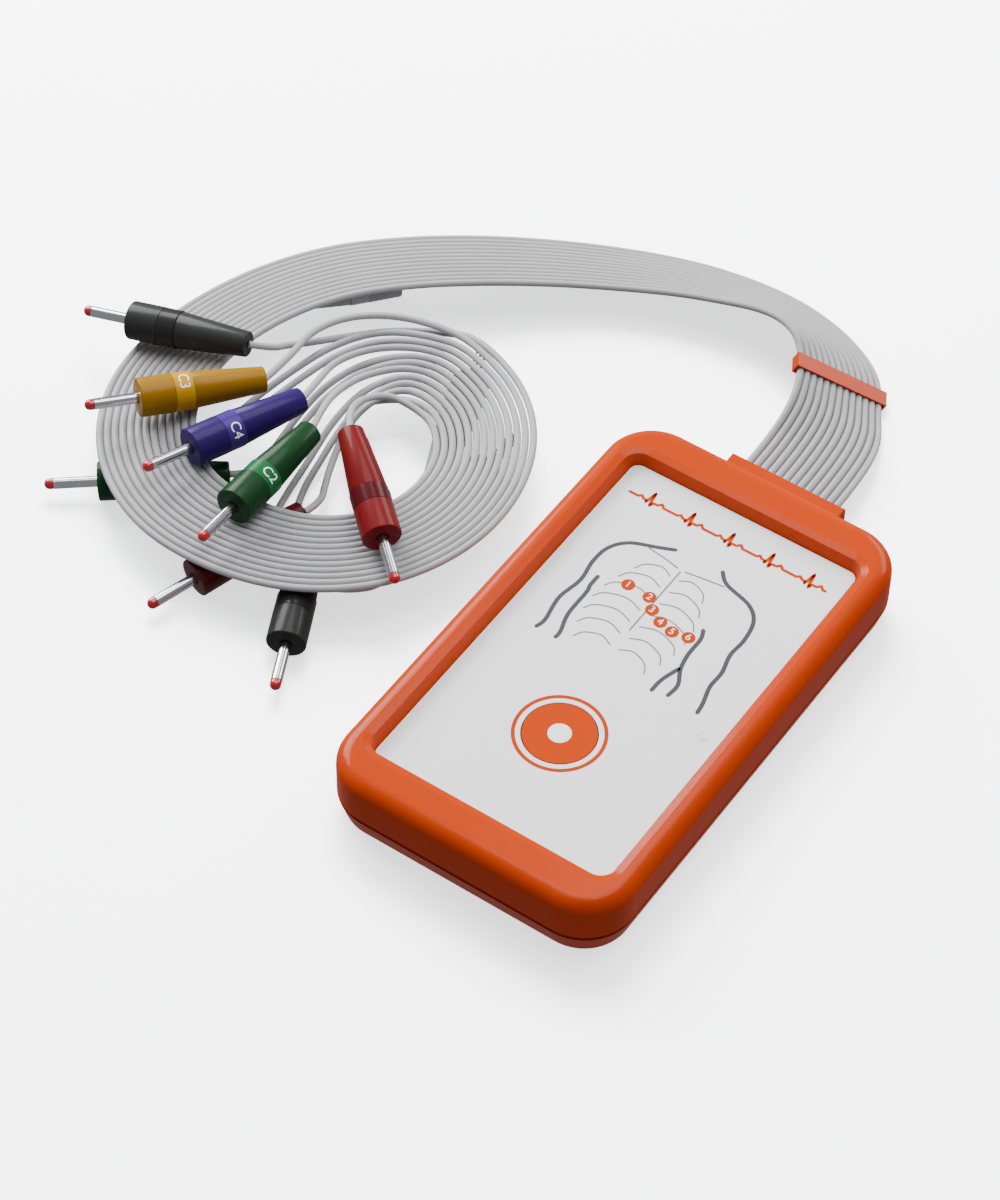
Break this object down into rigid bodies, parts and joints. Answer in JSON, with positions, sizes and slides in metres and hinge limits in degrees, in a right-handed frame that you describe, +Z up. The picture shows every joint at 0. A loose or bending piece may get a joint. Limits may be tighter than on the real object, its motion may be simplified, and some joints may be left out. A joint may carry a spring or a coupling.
{
  "type": "ecg machine",
  "caption": "Hand-held heart recorder with a recessed front label, one round start button and a flat ribbon cable that fans out into single lead wires with pin plugs.",
  "frame": {"origin": "middle of the case on the surface that it lies on", "axes": "+Y along the case towards the end that the cable leaves, +X to the case's right, +Z up out of the front label"},
  "size_m": [0.2284, 0.2187, 0.0263],
  "materials": {
    "orange_plastic": "smooth semi-gloss",
    "gasket": "matte",
    "overlay": "satin printed film",
    "button": "satin printed film",
    "foot_rubber": "matte",
    "board": "solder mask",
    "light": "clear diffused",
    "dark_plastic": "moulded",
    "tin": "tinned",
    "cell_wrap": "wrapped",
    "screw": "zinc",
    "contact_gold": "plated",
    "band_mixed": "one colour per lead",
    "chrome_pin": "polished",
    "tip_mixed": "small coloured tip",
    "wire_grey": "soft jacket",
    "plug_red": "moulded",
    "plug_green": "moulded",
    "plug_dark_red": "moulded",
    "plug_black": "moulded",
    "plug_brown": "moulded",
    "plug_violet": "moulded"
  },
  "bodies": {
    "case": {"top_shell": "orange_plastic", "bottom_shell": "orange_plastic", "seam_gasket": "gasket", "front_overlay": "overlay", "rubber_feet": "foot_rubber", "main_board": "board", "status_led": "light", "tact_switch": "dark_plastic", "shield_can": "tin", "battery_cells": "cell_wrap", "battery_contacts": "tin", "shell_screws": "screw", "cable_socket": "dark_plastic"},
    "button": {"start_button": "button"},
    "door": {"battery_door": "orange_plastic"},
    "cable": {"plug_hood_top": "orange_plastic", "plug_hood_bottom": "orange_plastic", "plug_insert": "dark_plastic", "plug_contacts": "contact_gold", "cable_clip_top": "orange_plastic", "cable_clip_bottom": "orange_plastic", "lead_bands": "band_mixed", "lead_pins": "chrome_pin", "lead_tips": "tip_mixed", "lead_plug_01": "plug_red", "lead_plug_02": "plug_green", "lead_plug_03": "plug_dark_red", "lead_plug_04": "plug_black", "lead_plug_05": "plug_brown", "lead_plug_06": "plug_green", "lead_plug_07": "plug_green", "lead_plug_08": "plug_violet", "lead_plug_09": "plug_violet", "lead_plug_10": "plug_brown", "lead_plug_11": "plug_red", "lead_plug_12": "plug_brown", "lead_plug_13": "plug_black", "wire_01": "wire_grey", "wire_02": "wire_grey", "wire_03": "wire_grey", "wire_04": "wire_grey", "wire_05": "wire_grey", "wire_06": "wire_grey", "wire_07": "wire_grey", "wire_08": "wire_grey", "wire_09": "wire_grey", "wire_10": "wire_grey", "wire_11": "wire_grey", "wire_12": "wire_grey", "wire_13": "wire_grey"}
  },
  "joints": [
    {"name": "button_press", "type": "slide", "parent": "case", "child": "button", "axis": [0, 0, -1], "range_m": [0, 0.0004], "stiffness_N_per_m": 800, "springref_m": -0.0004},
    {"name": "cable_plug_slide", "type": "slide", "parent": "case", "child": "cable", "axis": [0, 1, 0], "range_m": [0, 0.008]},
    {"name": "battery_door_slide", "type": "slide", "parent": "case", "child": "door", "axis": [0, 1, 0], "range_m": [0, 0.028]}
  ]
}
